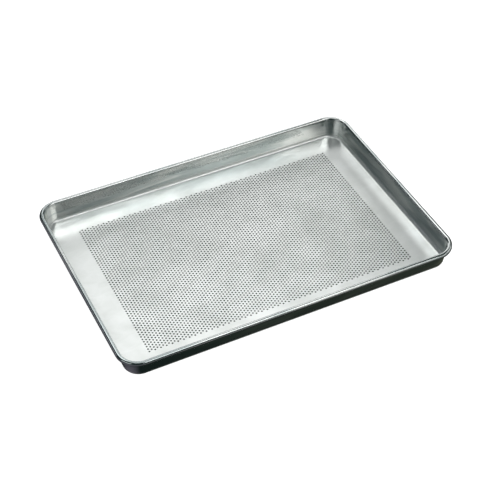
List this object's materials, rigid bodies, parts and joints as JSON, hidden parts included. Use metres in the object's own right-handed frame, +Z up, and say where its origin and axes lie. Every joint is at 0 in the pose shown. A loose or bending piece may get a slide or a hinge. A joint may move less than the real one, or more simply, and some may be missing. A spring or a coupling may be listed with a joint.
{
  "type": "perforated baking tray",
  "caption": "Shallow rectangular aluminium baking tray with a flat perforated floor, drafted sides, rounded corners and a rim rolled round a steel rod.",
  "frame": {"origin": "centre of the resting face, under the middle of the tray", "axes": "+X along the long side, +Y along the short side, +Z up out of the tray"},
  "size_m": [0.66, 0.457, 0.045],
  "materials": {
    "aluminium_sheet": "satin",
    "steel_rod": "galvanised"
  },
  "bodies": {
    "root": {"perforated_floor": "aluminium_sheet", "front_side": "aluminium_sheet", "back_side": "aluminium_sheet", "left_side": "aluminium_sheet", "right_side": "aluminium_sheet", "front_left_corner": "aluminium_sheet", "front_right_corner": "aluminium_sheet", "back_left_corner": "aluminium_sheet", "back_right_corner": "aluminium_sheet", "rim_wire": "steel_rod"}
  },
  "joints": []
}
